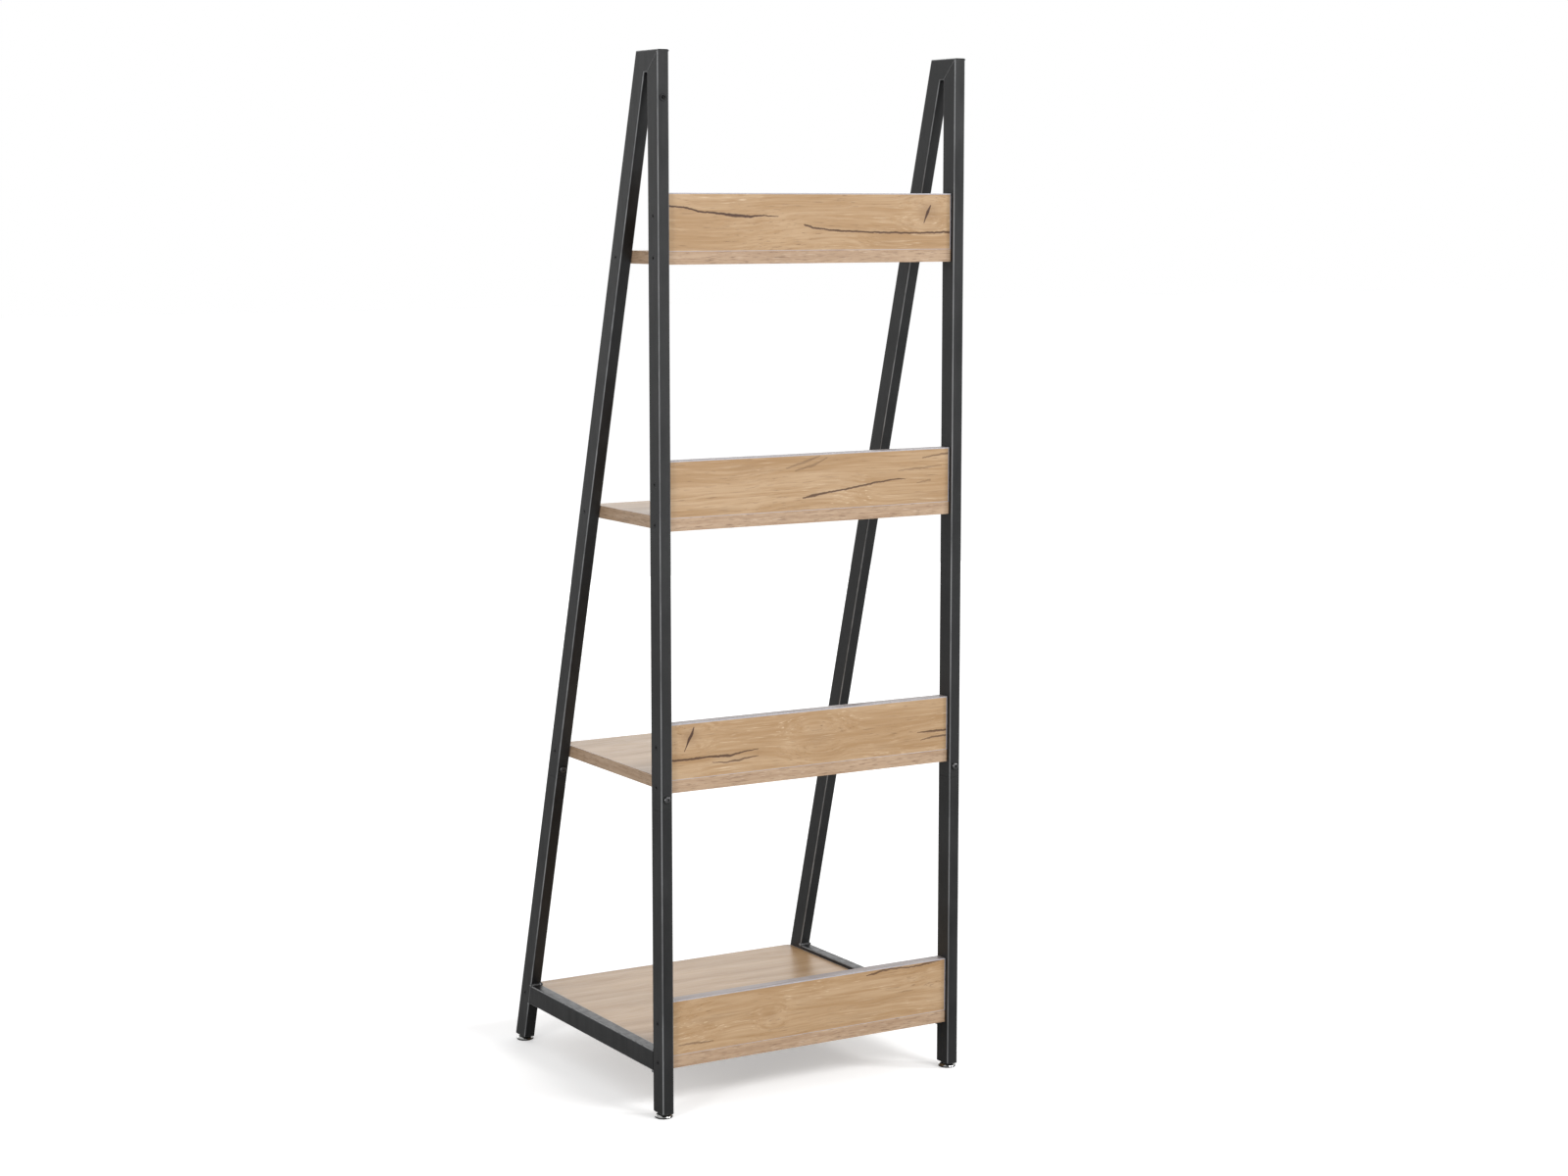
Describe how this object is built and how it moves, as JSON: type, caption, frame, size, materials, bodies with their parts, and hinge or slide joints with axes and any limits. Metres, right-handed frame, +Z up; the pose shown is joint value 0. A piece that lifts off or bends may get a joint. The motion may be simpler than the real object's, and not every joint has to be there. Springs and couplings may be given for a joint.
{
  "type": "ladder shelf",
  "caption": "Free-standing ladder shelf with black steel side frames, oak-look shelves that deepen downwards, an upright stop board behind each and screw-in levelling feet.",
  "frame": {"origin": "on the floor, in the middle of the shelf's whole box", "axes": "+Z up; -Y is the open front with the leaning legs; +Y is the wall side with the upright posts; +X is the right-hand side seen from the front"},
  "size_m": [0.512, 0.4886, 1.5],
  "materials": {
    "black_frame": "satin powder coat",
    "plain_steel": "zinc plated",
    "oak_board": "knotty oak decor, matt",
    "oak_edging": "oak decor edging, matt",
    "beech_dowel": "raw",
    "black_screw": "black coated",
    "black_plastic": "moulded",
    "zinc_stem": "zinc plated",
    "polished_cap": "polished"
  },
  "bodies": {
    "shelf_frame": {"foot_plug_front_left": "black_plastic", "foot_plug_front_right": "black_plastic", "foot_plug_rear_left": "black_plastic", "foot_plug_rear_right": "black_plastic", "frame_joint_screws": "black_screw", "front_leg_lower_left": "black_frame", "front_leg_lower_right": "black_frame", "front_leg_upper_left": "black_frame", "front_leg_upper_right": "black_frame", "leg_sleeve_left": "plain_steel", "leg_sleeve_right": "plain_steel", "post_sleeve_left": "plain_steel", "post_sleeve_right": "plain_steel", "rear_post_lower_left": "black_frame", "rear_post_lower_right": "black_frame", "rear_post_upper_left": "black_frame", "rear_post_upper_right": "black_frame", "shelf_board_bottom": "oak_board", "shelf_board_lower": "oak_board", "shelf_board_top": "oak_board", "shelf_board_upper": "oak_board", "shelf_edge_band_bottom": "oak_edging", "shelf_edge_band_lower": "oak_edging", "shelf_edge_band_top": "oak_edging", "shelf_edge_band_upper": "oak_edging", "shelf_screws": "black_screw", "side_rail_left": "black_frame", "side_rail_right": "black_frame", "sleeve_nuts": "plain_steel", "stop_board_bottom": "oak_board", "stop_board_dowels": "beech_dowel", "stop_board_lower": "oak_board", "stop_board_screws": "black_screw", "stop_board_top": "oak_board", "stop_board_upper": "oak_board", "stop_edge_band_bottom": "oak_edging", "stop_edge_band_lower": "oak_edging", "stop_edge_band_top": "oak_edging", "stop_edge_band_upper": "oak_edging", "top_rail_left": "black_frame", "top_rail_right": "black_frame", "wall_anchor_insert": "plain_steel"},
    "front_left_stem": {"foot_stem_front_left": "zinc_stem"},
    "front_left_pad": {"foot_cap_front_left": "polished_cap", "foot_pad_front_left": "black_plastic"},
    "front_right_stem": {"foot_stem_front_right": "zinc_stem"},
    "front_right_pad": {"foot_cap_front_right": "polished_cap", "foot_pad_front_right": "black_plastic"},
    "rear_left_stem": {"foot_stem_rear_left": "zinc_stem"},
    "rear_left_pad": {"foot_cap_rear_left": "polished_cap", "foot_pad_rear_left": "black_plastic"},
    "rear_right_stem": {"foot_stem_rear_right": "zinc_stem"},
    "rear_right_pad": {"foot_cap_rear_right": "polished_cap", "foot_pad_rear_right": "black_plastic"}
  },
  "joints": [
    {"name": "front_left_foot_height", "type": "slide", "parent": "shelf_frame", "child": "front_left_stem", "axis": [0, 0, -1], "range_m": [0, 0.01]},
    {"name": "front_left_foot_turn", "type": "hinge", "parent": "front_left_stem", "child": "front_left_pad", "pos_m": [-0.243, -0.2287, 0], "axis": [0, 0, -1], "range_deg": [0, 2880]},
    {"name": "front_right_foot_height", "type": "slide", "parent": "shelf_frame", "child": "front_right_stem", "axis": [0, 0, -1], "range_m": [0, 0.01]},
    {"name": "front_right_foot_turn", "type": "hinge", "parent": "front_right_stem", "child": "front_right_pad", "pos_m": [0.243, -0.2287, 0], "axis": [0, 0, -1], "range_deg": [0, 2880]},
    {"name": "rear_left_foot_height", "type": "slide", "parent": "shelf_frame", "child": "rear_left_stem", "axis": [0, 0, -1], "range_m": [0, 0.01]},
    {"name": "rear_left_foot_turn", "type": "hinge", "parent": "rear_left_stem", "child": "rear_left_pad", "pos_m": [-0.243, 0.22629, 0], "axis": [0, 0, -1], "range_deg": [0, 2880]},
    {"name": "rear_right_foot_height", "type": "slide", "parent": "shelf_frame", "child": "rear_right_stem", "axis": [0, 0, -1], "range_m": [0, 0.01]},
    {"name": "rear_right_foot_turn", "type": "hinge", "parent": "rear_right_stem", "child": "rear_right_pad", "pos_m": [0.243, 0.22629, 0], "axis": [0, 0, -1], "range_deg": [0, 2880]}
  ],
  "couplings": [
    {"joint": "front_left_foot_height", "follows": "front_left_foot_turn", "m_per_rad": 0.00019894},
    {"joint": "front_right_foot_height", "follows": "front_right_foot_turn", "m_per_rad": 0.00019894},
    {"joint": "rear_left_foot_height", "follows": "rear_left_foot_turn", "m_per_rad": 0.00019894},
    {"joint": "rear_right_foot_height", "follows": "rear_right_foot_turn", "m_per_rad": 0.00019894}
  ]
}
